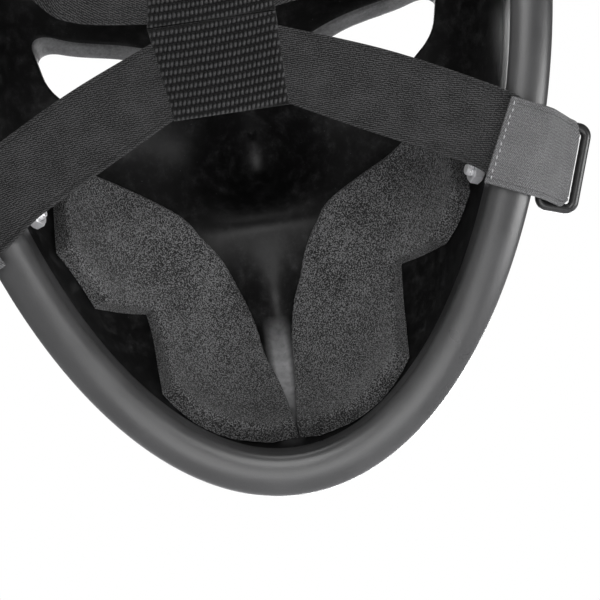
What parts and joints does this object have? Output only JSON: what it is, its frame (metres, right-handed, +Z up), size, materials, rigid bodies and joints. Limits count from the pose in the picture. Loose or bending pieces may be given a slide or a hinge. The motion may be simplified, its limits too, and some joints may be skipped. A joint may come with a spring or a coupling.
{
  "type": "protective face mask",
  "caption": "Protective full-face mask: thick moulded shell with eye openings, rubber edge trim, foam pads and an elastic head harness on hinged wire slides.",
  "frame": {"origin": "middle of the rim plane, where the head goes in: on the mask's middle plane and half way between the chin edge and the forehead edge", "axes": "+Z up as worn, -Y out of the front of the mask, +X towards the wearer's left"},
  "size_m": [0.2144, 0.1037, 0.2496],
  "materials": {
    "shell_moulding": "black gloss paint over a laminated fibre shell",
    "trim_rubber": "satin black rubber",
    "pad_foam": "charcoal closed-cell foam, fine speckle",
    "strap_elastic": "woven elastic, black",
    "strap_loop_face": "brushed loop face of the elastic, grey",
    "patch_webbing": "coarse knitted webbing, black",
    "steel_black": "black satin paint",
    "slide_wire": "black gloss coated wire",
    "steel_zinc": "bright zinc plate"
  },
  "bodies": {
    "mask": {"shell": "shell_moulding", "edge_trim": "trim_rubber", "forehead_pad": "pad_foam", "cheek_pad_left": "pad_foam", "cheek_pad_right": "pad_foam", "strap_lower_left": "strap_elastic", "strap_lower_right": "strap_elastic", "strap_upper_left": "strap_elastic", "strap_upper_right": "strap_elastic", "anchor_plate_lower_left": "steel_black", "anchor_plate_lower_right": "steel_black", "anchor_plate_upper_left": "steel_black", "anchor_plate_upper_right": "steel_black", "anchor_screw_lower_left": "steel_zinc", "anchor_screw_lower_right": "steel_zinc", "anchor_screw_upper_left": "steel_zinc", "anchor_screw_upper_right": "steel_zinc", "anchor_nut_lower_left": "steel_zinc", "anchor_nut_lower_right": "steel_zinc", "anchor_nut_upper_left": "steel_zinc", "anchor_nut_upper_right": "steel_zinc"},
    "harness": {"patch_lower": "patch_webbing", "patch_upper": "patch_webbing"},
    "slide_lower_left": {"strap_slide_lower_left": "slide_wire", "strap_end_lower_left": "strap_loop_face"},
    "slide_lower_right": {"strap_slide_lower_right": "slide_wire", "strap_end_lower_right": "strap_loop_face"},
    "slide_upper_left": {"strap_slide_upper_left": "slide_wire", "strap_end_upper_left": "strap_loop_face"},
    "slide_upper_right": {"strap_slide_upper_right": "slide_wire", "strap_end_upper_right": "strap_loop_face"}
  },
  "joints": [
    {"name": "harness_pull", "type": "slide", "parent": "mask", "child": "harness", "axis": [0, 1, 0], "range_m": [0, 0.1], "stiffness_N_per_m": 200, "deforming": ["strap_lower_left", "strap_lower_right", "strap_upper_left", "strap_upper_right"]},
    {"name": "slide_lower_left_swing", "type": "hinge", "parent": "mask", "child": "slide_lower_left", "pos_m": [0.08887, -0.00796, -0.03472], "axis": [0.3163, 0.0701, 0.9461], "range_deg": [-10, 75], "deforming": ["strap_end_lower_left"]},
    {"name": "slide_lower_right_swing", "type": "hinge", "parent": "mask", "child": "slide_lower_right", "pos_m": [-0.08887, -0.00796, -0.03472], "axis": [0.3163, -0.0701, -0.9461], "range_deg": [-10, 75], "deforming": ["strap_end_lower_right"]},
    {"name": "slide_upper_left_swing", "type": "hinge", "parent": "mask", "child": "slide_upper_left", "pos_m": [0.09085, -0.00731, 0.08389], "axis": [-0.5283, -0.1009, 0.843], "range_deg": [-10, 75], "deforming": ["strap_end_upper_left"]},
    {"name": "slide_upper_right_swing", "type": "hinge", "parent": "mask", "child": "slide_upper_right", "pos_m": [-0.09085, -0.00731, 0.08389], "axis": [-0.5283, 0.1009, -0.843], "range_deg": [-10, 75], "deforming": ["strap_end_upper_right"]}
  ],
  "couplings": [
    {"joint": "slide_lower_left_swing", "follows": "harness_pull", "rad_per_m": 10.472},
    {"joint": "slide_lower_right_swing", "follows": "harness_pull", "rad_per_m": 10.472},
    {"joint": "slide_upper_left_swing", "follows": "harness_pull", "rad_per_m": 10.472},
    {"joint": "slide_upper_right_swing", "follows": "harness_pull", "rad_per_m": 10.472}
  ]
}
